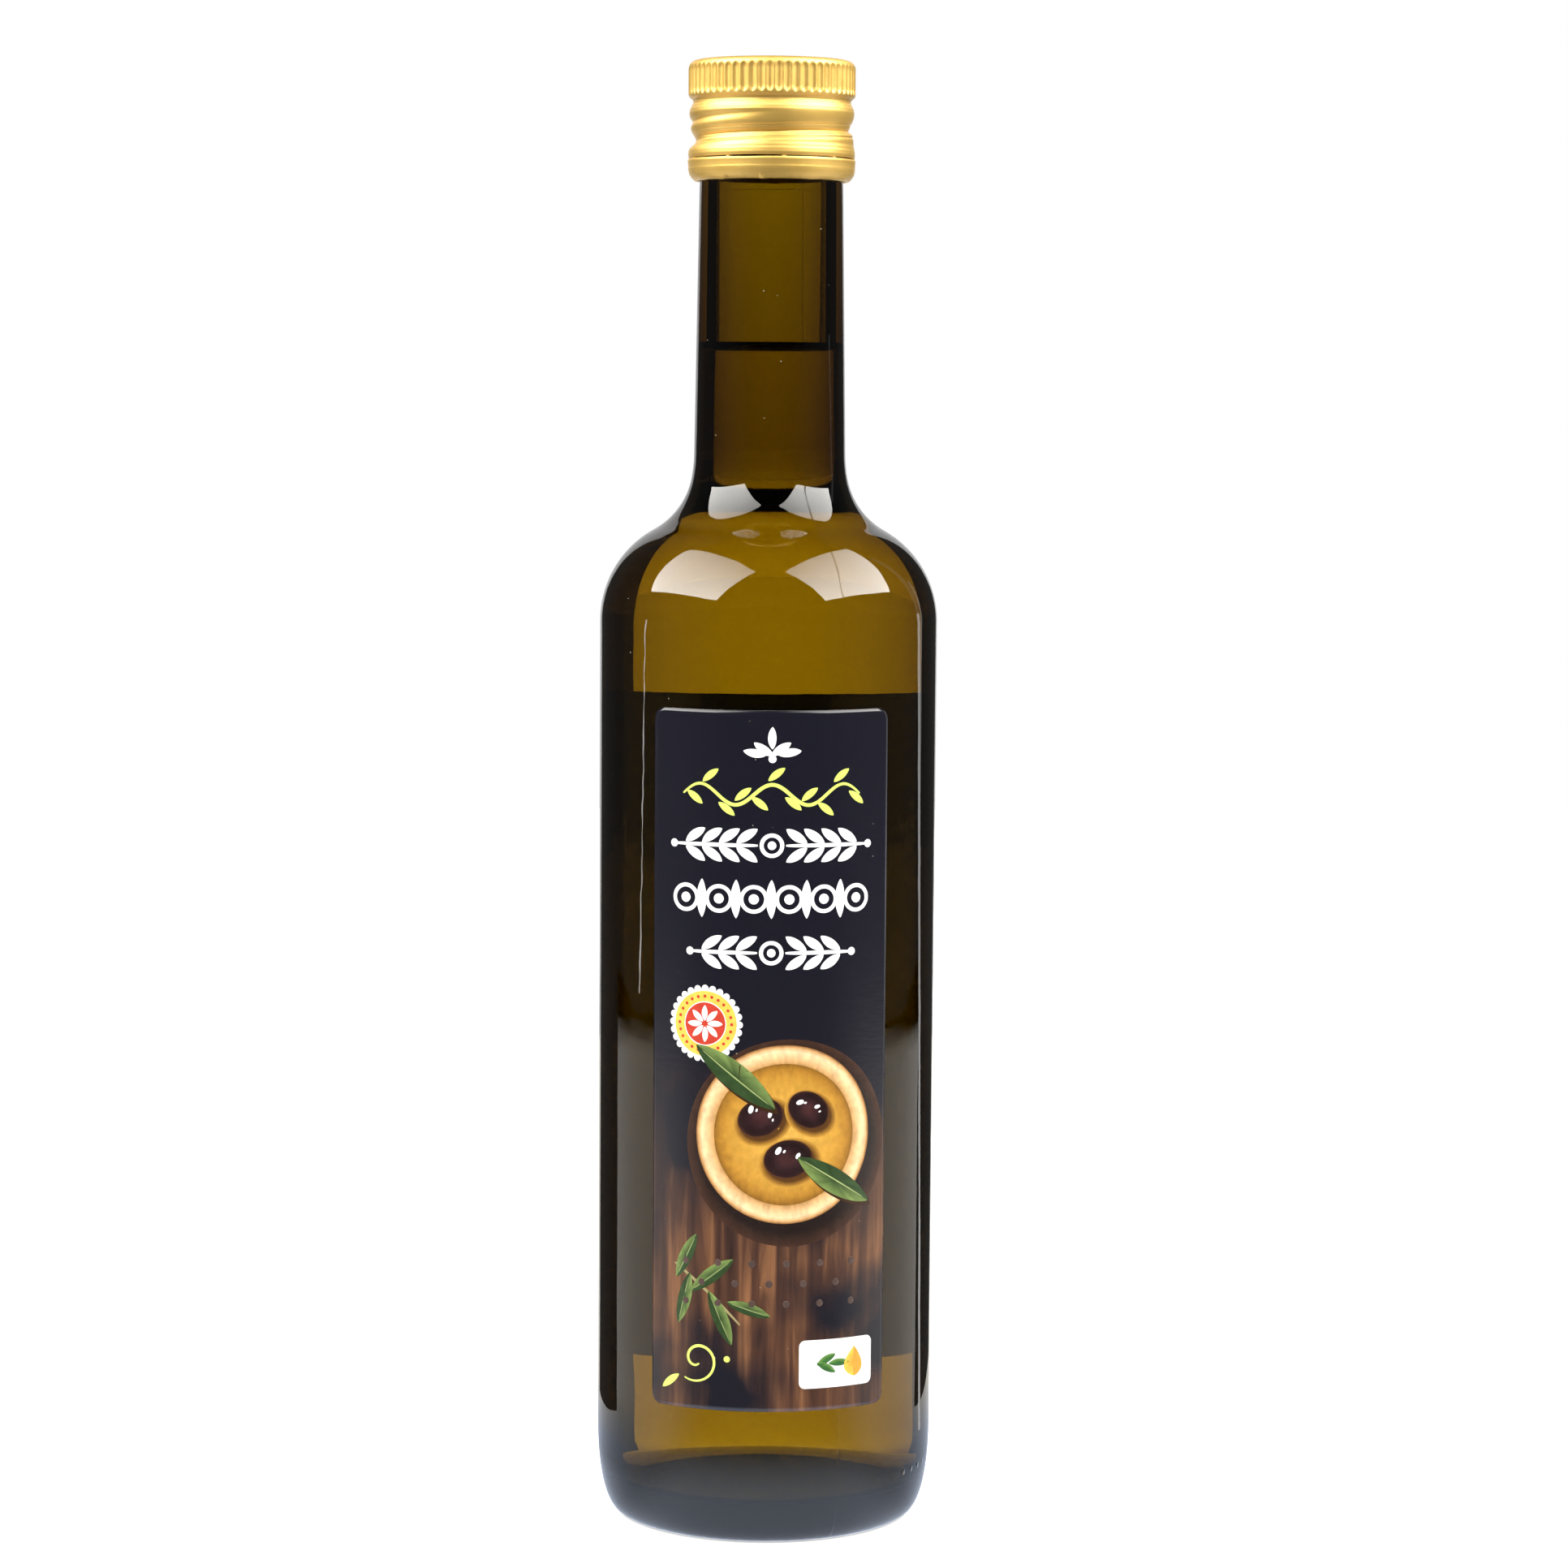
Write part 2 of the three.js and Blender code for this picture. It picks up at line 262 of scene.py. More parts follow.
gleam_ahead = maths(gleam_tree, "MULTIPLY", gleam_near, gleam_front)
feed(gleam_tree, gleam_tree.nodes["Principled BSDF"], {
    "Emission Strength": maths(gleam_tree, "MAXIMUM", gleam_far, gleam_ahead),
    "Emission Color": blend(gleam_tree, gleam_near, GLEAM_WARM, GLEAM_COOL),
})

backdrop = stage_card("backdrop", BACKDROP, BACKDROP_GLOW)
backdrop.visible_glossy = False
# A copy of the backdrop shows only in gloss and glows less: a painted reflection of the backdrop.
backdrop_gleam = stage_card("backdrop_gleam", BACKDROP, BACKDROP_GLEAM_GLOW)
backdrop_gleam.visible_transmission = False
for name, corners in BLACK_CARDS:
    stage_card(name, corners, CARD_GLOW)
# Two dark sheets lie on the table beside the foot. They show only through the glass, where they darken the
# table.
for name, corners in FOOT_CARDS:
    foot_card = stage_card(name, corners, FOOT_CARD_GLOW)
    foot_card.visible_glossy = False
for name, corners, brightness, parts in STRIPS:
    strip = stage_card(name, corners, brightness, parts)
    strip.visible_transmission = False
    # The left strip sways and swells towards its top, so its painted reflection shows as an uneven line with
    # blotches.
    if parts > 1:
        for v in strip.data.vertices:
            height = v.co.z
            edge = 1 if v.index % 2 else -1
            blotch = max(0, (height - 0.163) / 0.012)
            sway = (noise.noise((height * 260, 0.3, 0)) * (0.0010 + 0.0024 * blotch)
                    + noise.noise((height * 1100, 3.1, 0)) * 0.0006)
            swell = (noise.noise((height * 210, 7.7, 0)) * 0.0009
                     + 0.0030 * blotch * abs(noise.noise((height * 420, 1.9, 0))))
            v.co.y += sway + edge * swell * 0.5


# Bottle: blown dark olive glass in one piece, with a thick pushed-up floor, a rounded heel and
# shoulder, and a neck that widens a little downwards. Its two mould halves meet in a fine seam.
MM = 0.001
BODY_RADIUS = 32.195
HEEL_WIDTH = 5.2
HEEL_HEIGHT = 19.6
HEEL_POWER = 0.81
HEEL_STEPS = 24
FOOT_INNER_RADIUS = 23.6
PUNT_HEIGHT = 9.5
SHOULDER_Z = 172.3
SHOULDER_RADIUS = 19.8
SHOULDER_TURN = 61
NECK_EASE_RADIUS = 28
NECK_EASE_TURN = 10
NECK_RADIUS = 14.4
NECK_TOP_Z = 253.5
NECK_TOP_RADIUS = 13.65
FINISH_RADIUS = 13.4
MOUTH_Z = 276.6
BORE_RADIUS = 10.4
INNER_RADIUS = 29.6
INNER_FLOOR_Z = 7.1
INNER_FLOOR_RADIUS = 25
INNER_HEEL_Z = 9.3
DOME_HEIGHT = 13.6
INNER_SHOULDER_RADIUS = 17.2
SEAM_AZIMUTH = 24.4
HEEL_DOTS = (55.5, 61, 66.5, 72)
HEEL_DOT_Z = 11
HEEL_DOT_RADIUS = 0.75
GLASS_IOR = 1.52
GLASS_TINT = (0.6957, 0.6279, 0.0, 1)
GLASS_DENSITY = 1400
WAVE_HEIGHT = 0.00005
DRAWN_HEIGHT = 0.000022
SEAM_HEIGHT = 0.00004
TURN_STEPS = 180


def arc(r, z, radius, start, end, steps):
    angles = [math.radians(start + (end - start) * i / steps) for i in range(steps + 1)]
    return [(r + radius * math.cos(a), z + radius * math.sin(a)) for a in angles]


def shoulder(body_radius, neck_radius, body_arc, steps):
    turn = math.radians(SHOULDER_TURN)
    ease_turn = math.radians(NECK_EASE_TURN)
    across = (body_radius - neck_radius - body_arc * (1 - math.cos(turn))
              - NECK_EASE_RADIUS * (1 - math.cos(ease_turn)))
    neck_arc = across / (math.cos(ease_turn) - math.cos(turn))
    lower = arc(body_radius - body_arc, SHOULDER_Z, body_arc, 0, SHOULDER_TURN, steps)
    r = lower[-1][0] + neck_arc * math.cos(turn)
    z = lower[-1][1] + neck_arc * math.sin(turn)
    upper = arc(r, z, neck_arc, 180 + SHOULDER_TURN, 180 + NECK_EASE_TURN, steps)
    r += (NECK_EASE_RADIUS - neck_arc) * math.cos(ease_turn)
    z += (NECK_EASE_RADIUS - neck_arc) * math.sin(ease_turn)
    eased = arc(r, z, NECK_EASE_RADIUS, 180 + NECK_EASE_TURN, 180, 6)
    return lower + upper[1:] + eased[1:]


def dome(height, edge_radius, edge_z, steps):
    drop = height - edge_z
    radius = (edge_radius ** 2 + drop ** 2) / (2 * drop)
    spread = math.degrees(math.asin(edge_radius / radius))
    points = arc(0, height - radius, radius, 90, 90 - spread, steps)
    return [(0, height)] + points[1:]


def heel(steps):
    points = []
    for i in range(steps + 1):
        angle = i / steps * math.pi / 2
        across = math.sin(angle) ** HEEL_POWER
        down = max(math.cos(angle), 0) ** HEEL_POWER if i < steps else 0
        points.append((BODY_RADIUS - HEEL_WIDTH + HEEL_WIDTH * across, HEEL_HEIGHT * (1 - down)))
    return points


def straight(low, high, steps):
    return [(low[0] + (high[0] - low[0]) * i / steps, low[1] + (high[1] - low[1]) * i / steps)
            for i in range(1, steps)]


def inside(inset):
    wall = INNER_RADIUS - inset
    floor = INNER_FLOOR_Z + inset
    corner = []
    for i in range(1, 13):
        angle = i / 12 * math.pi / 2
        corner.append((INNER_FLOOR_RADIUS + (wall - INNER_FLOOR_RADIUS) * math.sin(angle),
                       floor + (INNER_HEEL_Z - floor) * (1 - math.cos(angle))))
    return (dome(DOME_HEIGHT + inset, INNER_FLOOR_RADIUS, floor, 14) + corner
            + straight((wall, INNER_HEEL_Z), (wall, SHOULDER_Z), 30)
            + shoulder(wall, BORE_RADIUS - inset, INNER_SHOULDER_RADIUS - inset, 20))


def spun(form, points, steps):
    verts = [form.verts.new(point) for point in points]
    edges = [form.edges.new(pair) for pair in zip(verts, verts[1:])]
    bmesh.ops.spin(form, geom=verts + edges, cent=(0, 0, 0), axis=(0, 0, 1), dvec=(0, 0, 0),
                   angle=2 * math.pi, steps=steps, use_merge=True)


def smoothed(form):
    bmesh.ops.recalc_face_normals(form, faces=form.faces)
    for face in form.faces:
        face.smooth = True


def turned_piece(profile, steps):
    form = bmesh.new()
    spun(form, [(r * MM, 0, z * MM) for r, z in profile], steps)
    bmesh.ops.remove_doubles(form, verts=form.verts, dist=1e-7)
    smoothed(form)
    return form


def finished(name, form, material):
    mesh = bpy.data.meshes.new(name)
    form.to_mesh(mesh)
    form.free()
    mesh.materials.append(material)
    piece = bpy.data.objects.new(name, mesh)
    scene.collection.objects.link(piece)
    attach(piece, "root")
    return piece


def radius_at(profile, z):
    low, high = [pair for pair in zip(profile, profile[1:]) if pair[0][1] <= z <= pair[1][1]][0]
    return low[0] + (high[0] - low[0]) * (z - low[1]) / (high[1] - low[1])


def tinted_through(tree, colour, density):
    tint = add_node(tree, "VolumeAbsorption", {"Color": colour, "Density": density})["Volume"]
    feed(tree, tree.nodes["Material Output"], {"Volume": tint})


def mottle(tree, place, scale, detail=2, distortion=0):
    return add_node(tree, "TexNoise", {
        "Vector": place, "Scale": scale, "Detail": detail, "Distortion": distortion,
    })["Fac"]


def stretched(tree, place, scale, turn=(0, 0, 0)):
    return add_node(tree, "Mapping", {"Vector": place, "Rotation": turn, "Scale": scale})["Vector"]


def bumped(tree, height, distance, below=None):
    feeds = {"Height": height, "Distance": distance}
    if below is not None:
        feeds["Normal"] = below
    return add_node(tree, "Bump", feeds)["Normal"]


outer_shoulder = shoulder(BODY_RADIUS, NECK_RADIUS, SHOULDER_RADIUS, 24)
inner_neck_z = inside(0)[-1][1]
mouth = [(NECK_TOP_RADIUS, NECK_TOP_Z), (NECK_TOP_RADIUS - 0.05, NECK_TOP_Z + 1.6),
         (FINISH_RADIUS, MOUTH_Z - 0.6), (FINISH_RADIUS - 0.6, MOUTH_Z),
         (BORE_RADIUS + 0.6, MOUTH_Z), (BORE_RADIUS, MOUTH_Z - 0.6)]
outside = (dome(PUNT_HEIGHT, FOOT_INNER_RADIUS - 1.4, 1, 14) + [(FOOT_INNER_RADIUS, 0)] + heel(HEEL_STEPS)
           + straight((BODY_RADIUS, HEEL_HEIGHT), (BODY_RADIUS, SHOULDER_Z), 30) + outer_shoulder
           + straight(outer_shoulder[-1], (NECK_TOP_RADIUS, NECK_TOP_Z), 12) + mouth)
bore = straight((BORE_RADIUS, MOUTH_Z - 0.6), (BORE_RADIUS, inner_neck_z), 16)
glass_form = turned_piece(outside + bore + inside(0)[::-1], TURN_STEPS)
outer_skin = glass_form.verts.layers.float.new("outer_skin")
for v in glass_form.verts:
    v[outer_skin] = 1 if v.normal.x * v.co.x + v.normal.y * v.co.y > 0 else 0

glass, glass_tree, glass_shader = new_material("olive glass", {
    "Base Color": (1, 1, 1, 1), "Roughness": 0.0, "IOR": GLASS_IOR, "Transmission Weight": 1.0,
})
tinted_through(glass_tree, GLASS_TINT, GLASS_DENSITY)
glass_place = add_node(glass_tree, "TexCoord")["Object"]
glass_wavy = bumped(glass_tree, mottle(glass_tree, glass_place, 70), WAVE_HEIGHT)
glass_flow = mottle(glass_tree, stretched(glass_tree, glass_place, (210, 210, 9)), 1)
glass_drawn = bumped(glass_tree, glass_flow, DRAWN_HEIGHT, glass_wavy)
seam_turn = math.radians(SEAM_AZIMUTH)
glass_seam = add_node(glass_tree, "VectorMath", {
    0: glass_place, 1: (math.cos(seam_turn), math.sin(seam_turn), 0),
}, operation="DOT_PRODUCT")["Value"]
glass_seam_off = maths(glass_tree, "ABSOLUTE", glass_seam)
glass_height = add_node(glass_tree, "SeparateXYZ", {"Vector": glass_place})["Z"]
glass_parting = maths(glass_tree, "SUBTRACT", glass_height, NECK_TOP_Z * MM)
glass_parting_off = maths(glass_tree, "ABSOLUTE", glass_parting)
glass_parting_low = maths(glass_tree, "MULTIPLY_ADD", glass_parting_off, 0.5, 0.00014)
glass_line = maths(glass_tree, "MINIMUM", glass_seam_off, glass_parting_low)
glass_raised = graded(glass_tree, glass_line, (0.00004, 0.00020), (1, 0), smooth=True)
heel_dot_reach = radius_at(heel(HEEL_STEPS), HEEL_DOT_Z) * MM
for angle in HEEL_DOTS:
    turn = math.radians(angle)
    middle = (heel_dot_reach * math.sin(turn), -heel_dot_reach * math.cos(turn), HEEL_DOT_Z * MM)
    away = add_node(glass_tree, "VectorMath", {0: glass_place, 1: middle}, operation="DISTANCE")["Value"]
    rise = graded(glass_tree, away, (0, HEEL_DOT_RADIUS * MM), (5, 0), smooth=True)
    glass_raised = maths(glass_tree, "MAXIMUM", glass_raised, rise)
glass_outer = add_node(glass_tree, "Attribute", attribute_name="outer_skin")["Fac"]
glass_relief = maths(glass_tree, "MULTIPLY", glass_raised, glass_outer)
feed(glass_tree, glass_shader, {"Normal": bumped(glass_tree, glass_relief, SEAM_HEIGHT, glass_drawn)})
bottle = finished("bottle_glass", glass_form, glass)
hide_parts("glass_bottle")


# Oil: clear golden olive oil up to a level in the neck, where it creeps up the glass a little.
# It reaches just into the wall, so that no air shows between them.
OIL_REACH = 0.15
OIL_LEVEL = 223.3
CREEP = ((0, 1.88), (0.13, 1.87), (0.16, 1.84), (0.24, 0.92), (0.26, 0.87), (0.32, 0.80),
         (0.80, 0.40), (1.26, 0.02), (1.34, 0), (1.45, 0))
OIL_IOR = 1.47
OIL_TINT = (0.98, 0.90, 0.3, 1)
OIL_DENSITY = 30

oil_edge = BORE_RADIUS + OIL_REACH
oil_inside = inside(-OIL_REACH)
surface = [(oil_edge - across, OIL_LEVEL + up) for across, up in CREEP]
surface += [(5, OIL_LEVEL), (0, OIL_LEVEL)]
oil_form = turned_piece(oil_inside + straight(oil_inside[-1], surface[0], 8) + surface, TURN_STEPS)
oil, oil_tree, _ = new_material("olive oil", {
    "Base Color": (1, 1, 1, 1), "Roughness": 0.0, "IOR": OIL_IOR, "Transmission Weight": 1.0,
    "Specular Tint": (0, 0, 0, 1),
})
tinted_through(oil_tree, OIL_TINT, OIL_DENSITY)
oil_piece = finished("oil_filling", oil_form, oil)
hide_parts("oil")


# Cap: a thin metal shell rolled on over the glass thread, lacquered satin gold. The crown is fluted,
# the thread is pressed in as a winding groove, and the tear-off band hangs on small bridges.
CAP_TOP_Z = 278.1
CAP_TOP_WALL = 1.2
CAP_BORE_RADIUS = 14
CAP_RADIUS = 15.8
CAP_EDGE_RADIUS = 1.6
CAP_BOTTOM_Z = 255.5
KNURL_TOP_Z = 277
KNURL_BOTTOM_Z = 271.6
KNURL_COUNT = 60
KNURL_DEPTH = 0.34
SKIRT_STOPS = (
    (255.5, 14.5), (255.8, 14.9), (256.2, 15.26), (256.7, 15.56), (257.4, 15.76), (259.1, 15.85),
    (259.4, 15.8), (260.0, 15.72), (260.4, 15.8), (261.0, 15.76), (261.6, 15.64), (262.4, 15.5),
    (264.2, 15.45), (266.5, 15.5), (268.3, 15.62), (268.9, 15.52), (269.5, 15.25), (270.0, 14.98),
    (270.4, 14.92), (270.8, 15.08), (271.1, 15.5), (271.4, 15.74), (271.8, 15.8),
)
THREAD_Z = 263.0
THREAD_RISE = 2.05
THREAD_START_Z = 266.5
THREAD_FOOT = (261.2, 262.0)
THREAD_HEAD = (267.6, 268.6)
CREASES = ((263.1, 0.3), (264.3, 0.26), (265.45, 0.18))
CREASE_RISE = 2.8
CREASE_WIDTH = 0.17
BAND_RIDGES = ((257.75, 0.06), (256.85, 0.08))
RIDGE_WIDTH = 0.17
SLIT_Z = 259.7
SLIT_HEIGHT = 0.42
SLIT_DEPTH = 0.9
BRIDGE_COUNT = 9
BRIDGE_ANGLE = 3.4
FIRST_BRIDGE = 7
BAND_RADIUS = 15.9
TAB_ANGLE = -8.7
NICK_ANGLE = -36
CAP_STEPS = 480
GOLD_TONES = ((0.3, (0.83, 0.535, 0.12, 1)), (0.7, (0.90, 0.605, 0.165, 1)))
SLIT_DARK = (0.03, 0.018, 0.006, 1)


def ease(low, high, value):
    t = min(1, max(0, (value - low) / (high - low)))
    return t * t * (3 - 2 * t)


def between(stops, z):
    for (low_z, low_r), (high_z, high_r) in zip(stops, stops[1:]):
        if z <= high_z:
            return low_r + (high_r - low_r) * ease(low_z, high_z, z)
    return stops[-1][1]


def ring_noise(angle, size, seed):
    turn = math.radians(angle)
    return noise.noise((math.cos(turn) * size, math.sin(turn) * size, seed))


def bell(value, middle, width):
    return math.exp(-((value - middle) / width) ** 2)


def thread_press(z, angle):
    across = min(1, max(0, (angle + 90) / 180))
    groove = z - THREAD_Z - THREAD_RISE * (angle + 90) / 180
    reach = 1.5 if groove > 0 else 1.15 - 0.5 * across
    press = (1.15 - 0.3 * across) * bell(groove, 0, reach) * (1 - ease(150, 175, abs(angle)))
    start = z - THREAD_START_Z - 1.1 * (angle + 90) / 65
    press += 0.55 * bell(start, 0, 0.7) * (1 - ease(-80, 15, angle)) * ease(-165, -120, angle)
    for middle, depth in CREASES:
        crease = bell(z, middle + CREASE_RISE * angle / 360, CREASE_WIDTH)
        press += depth * crease * ease(-78, -55, angle) * (1 - ease(80, 110, angle))
    return press * ease(*THREAD_FOOT, z) * (1 - ease(*THREAD_HEAD, z))


def band_relief(z, angle):
    swell = 0
    for ridge, height in BAND_RIDGES:
        swell += height * bell(z, ridge, RIDGE_WIDTH) * (0.7 + 0.6 * ring_noise(angle, 3, ridge))
    return swell + 0.06 * ease(258.7, 259.3, z)


def toned(tree, value, stops, interpolation="LINEAR"):
    node = tree.nodes.new("ShaderNodeValToRGB")
    ramp = node.color_ramp
    ramp.interpolation = interpolation
    ramp.elements[0].position, ramp.elements[0].color = stops[0]
    ramp.elements[1].position, ramp.elements[1].color = stops[-1]
    for place, colour in stops[1:-1]:
        ramp.elements.new(place).color = colour
    feed(tree, node, {"Fac": value})
    return node.outputs["Color"]


slit_low = SLIT_Z - SLIT_HEIGHT / 2
slit_high = SLIT_Z + SLIT_HEIGHT / 2
skirt_rows = [CAP_BOTTOM_Z + 0.16 * i for i in range(25)]
skirt_rows += [slit_low - 0.02, slit_low, slit_high, slit_high + 0.02]
skirt_rows += [260.1 + 0.12 * i for i in range(96)]
crown_rows = [271.7 + 0.35 * i for i in range(14)]
cap_profile = ([(0, CAP_TOP_Z - CAP_TOP_WALL), (CAP_BORE_RADIUS, CAP_TOP_Z - CAP_TOP_WALL),
                (CAP_BORE_RADIUS, CAP_BOTTOM_Z + 0.1), (CAP_BORE_RADIUS + 0.2, CAP_BOTTOM_Z - 0.02)]
               + [(between(SKIRT_STOPS, z), z) for z in skirt_rows]
               + [(CAP_RADIUS, z) for z in crown_rows]
               + arc(CAP_RADIUS - CAP_EDGE_RADIUS, CAP_TOP_Z - CAP_EDGE_RADIUS, CAP_EDGE_RADIUS, 5, 90, 10)
               + [(r, CAP_TOP_Z) for r in (12.5, 9, 5, 2, 0)])
cap_form = turned_piece(cap_profile, CAP_STEPS)
slit_shade = cap_form.verts.layers.float.new("slit_shade")
for v in cap_form.verts:
    r = math.hypot(v.co.x, v.co.y) / MM
    z = v.co.z / MM
    angle = math.degrees(math.atan2(v.co.x, -v.co.y))
    if r < CAP_BORE_RADIUS + 0.5:
        continue
    moved = r
    lift = 0
    if z > KNURL_BOTTOM_Z - 0.3:
        flute = 0.5 - 0.5 * math.cos(math.radians(angle * KNURL_COUNT))
        foot = KNURL_BOTTOM_Z - 0.2 + 0.75 * (1 - flute)
        head = KNURL_TOP_Z - 0.55 - 0.5 * (1 - flute)
        moved -= KNURL_DEPTH * flute ** 0.6 * ease(foot, foot + 0.5, z) * (1 - ease(head, head + 0.9, z))
    elif z > THREAD_FOOT[0]:
        moved -= thread_press(z, angle)
    elif abs(z - SLIT_Z) < SLIT_HEIGHT / 2 + 0.03:
        span = 360 / BRIDGE_COUNT
        near = abs((angle - FIRST_BRIDGE + span / 2) % span - span / 2)
        cut = ease(BRIDGE_ANGLE * 0.28, BRIDGE_ANGLE * 0.6, near)
        gape = 0.3 + 0.5 * max(0, ring_noise(angle, 1.6, 4.7) + 0.3) + 0.35 * bell(angle, -20, 14)
        lift = (z - SLIT_Z) * (min(1, gape) * cut + 0.25 * (1 - cut) - 1)
        if abs(z - SLIT_Z) < SLIT_HEIGHT / 2 + 0.01:
            moved -= SLIT_DEPTH * cut + 0.05 * (1 - cut)
            v[slit_shade] = cut
    elif z < SLIT_Z:
        low = 1 - ease(CAP_BOTTOM_Z, CAP_BOTTOM_Z + 1.4, z)
        tab = bell(angle, TAB_ANGLE, 1.2)
        nick = bell(angle, NICK_ANGLE, 1.6)
        ragged = 0.20 * ring_noise(angle, 5, 1.3) + 0.10 * ring_noise(angle, 16, 2.9)
        lift = low * (ragged - 0.22 * tab + 0.16 * nick)
        moved += band_relief(z, angle) + low * (0.30 * tab - 0.12 * nick)
    dent = noise.noise((v.co.x * 120, v.co.y * 120, v.co.z * 220))
    moved += 0.05 * dent * (1 if z < KNURL_BOTTOM_Z else 0.25)
    moved = min(max(moved, CAP_BORE_RADIUS + 0.12), BAND_RADIUS)
    v.co = (v.co.x * moved / r, v.co.y * moved / r, (z + lift) * MM)

gold, gold_tree, gold_shader = new_material("satin gold lacquer", {
    "Metallic": 0.94, "IOR": 1.5, "Coat Weight": 1.0, "Coat Roughness": 0.38,
})
gold_place = add_node(gold_tree, "TexCoord")["Object"]
gold_grain = mottle(gold_tree, gold_place, 5200, 3)
gold_cloud = mottle(gold_tree, gold_place, 160, 4)
gold_slit = add_node(gold_tree, "Attribute", attribute_name="slit_shade")["Fac"]
gold_tone = toned(gold_tree, gold_cloud, GOLD_TONES)
feed(gold_tree, gold_shader, {
    "Base Color": blend(gold_tree, gold_slit, gold_tone, SLIT_DARK),
    "Roughness": graded(gold_tree, gold_cloud, (0, 1), (0.48, 0.58)),
    "Normal": bumped(gold_tree, gold_grain, 0.000014),
})
cap = finished("gold_cap", cap_form, gold)
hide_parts("cap")


# Labels: one coated paper label on the front and one on the back, wrapped on the glass. The paper is
# printed dark blue above and as dark wood below, and a thin pale cut edge shows all round.
LABEL_HALF_ANGLE = 42
LABEL_BOTTOM_Z = 26
LABEL_TOP_Z = 157.4
LABEL_INNER = 32.17
LABEL_THICKNESS = 0.2
LABEL_CORNER = 2.2
PAPER_IOR = 1.48
PAPER_GLOSS = (0.13, 0.22)
DARK_BLUE = (0.0065, 0.0063, 0.0112, 1)
WOOD_TONES = (
    (0.28, (0.018, 0.009, 0.008, 1)), (0.52, (0.068, 0.029, 0.016, 1)), (0.74, (0.20, 0.088, 0.036, 1)),
)
CUT_TONES = ((0, (0.06, 0.055, 0.05, 1)), (0.02, (0.62, 0.60, 0.56, 1)))
LABEL_HALF_WIDTH = math.radians(LABEL_HALF_ANGLE) * BODY_RADIUS
LABEL_HALF_HEIGHT = (LABEL_TOP_Z - LABEL_BOTTOM_Z) / 2


def wrapped(form, turn):
    for v in form.verts:
        angle = v.co.x / BODY_RADIUS + turn
        r = LABEL_INNER + v.co.z
        height = LABEL_BOTTOM_Z + LABEL_HALF_HEIGHT + v.co.y
        v.co = (r * math.sin(angle) * MM, -r * math.cos(angle) * MM, height * MM)
    form.normal_update()


def paper(turn):
    form = bmesh.new()
    printed_side = form.verts.layers.float.new("printed_side")
    bmesh.ops.create_grid(form, x_segments=80, y_segments=160, size=1.0, calc_uvs=False)
    bmesh.ops.scale(form, verts=form.verts, vec=(LABEL_HALF_WIDTH, LABEL_HALF_HEIGHT, 1))
    for v in form.verts:
        across = abs(v.co.x) - (LABEL_HALF_WIDTH - LABEL_CORNER)
        along = abs(v.co.y) - (LABEL_HALF_HEIGHT - LABEL_CORNER)
        if across > 0 and along > 0:
            shrink = max(across, along) / math.hypot(across, along)
            v.co.x = math.copysign(LABEL_HALF_WIDTH - LABEL_CORNER + across * shrink, v.co.x)
            v.co.y = math.copysign(LABEL_HALF_HEIGHT - LABEL_CORNER + along * shrink, v.co.y)
    sheet = bmesh.ops.extrude_face_region(form, geom=form.faces[:])
    face_up = [v for v in sheet["geom"] if isinstance(v, bmesh.types.BMVert)]
    bmesh.ops.translate(form, verts=face_up, vec=(0, 0, LABEL_THICKNESS))
    for v in face_up:
        v[printed_side] = 1
    wrapped(form, turn)
    smoothed(form)
    return form


def coated_paper(name):
    material, tree, shader = new_material(name, {"IOR": PAPER_IOR})
    place = add_node(tree, "TexCoord")["Object"]
    fibre = mottle(tree, stretched(tree, place, (350, 350, 1500)), 1, 3)
    feed(tree, shader, {
        "Roughness": graded(tree, fibre, (0, 1), PAPER_GLOSS), "Normal": bumped(tree, fibre, 0.000012),
    })
    return material, tree, shader, place


label_paper, paper_tree, paper_shader, paper_place = coated_paper("label paper")
paper_height = add_node(paper_tree, "SeparateXYZ", {"Vector": paper_place})["Z"]
wood_place = stretched(paper_tree, paper_place, (420, 60, 26), (0, math.radians(7), 0))
wood_tone = toned(paper_tree, mottle(paper_tree, wood_place, 1, 6, 0.6), WOOD_TONES)
wood_cloud = mottle(paper_tree, paper_place, 38, 3)
wood_edge = maths(paper_tree, "MULTIPLY_ADD", wood_cloud, 0.05, paper_height)
wood_start = graded(paper_tree, wood_edge, (0.120, 0.082), smooth=True)
wood_shade = graded(paper_tree, wood_cloud, (0.42, 0.60))
wood_part = maths(paper_tree, "MULTIPLY", wood_start, wood_shade)
paper_field = blend(paper_tree, wood_part, DARK_BLUE, wood_tone)
paper_side = add_node(paper_tree, "Attribute", attribute_name="printed_side")["Fac"]
paper_front = maths(paper_tree, "GREATER_THAN", paper_side, 0.98)
paper_cut = toned(paper_tree, paper_side, CUT_TONES, "CONSTANT")
feed(paper_tree, paper_shader, {"Base Color": blend(paper_tree, paper_front, paper_cut, paper_field)})

for name, turn in (("front_label", 0), ("back_label", math.pi)):
    piece = finished(name + "_paper", paper(turn), label_paper)
    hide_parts(name)


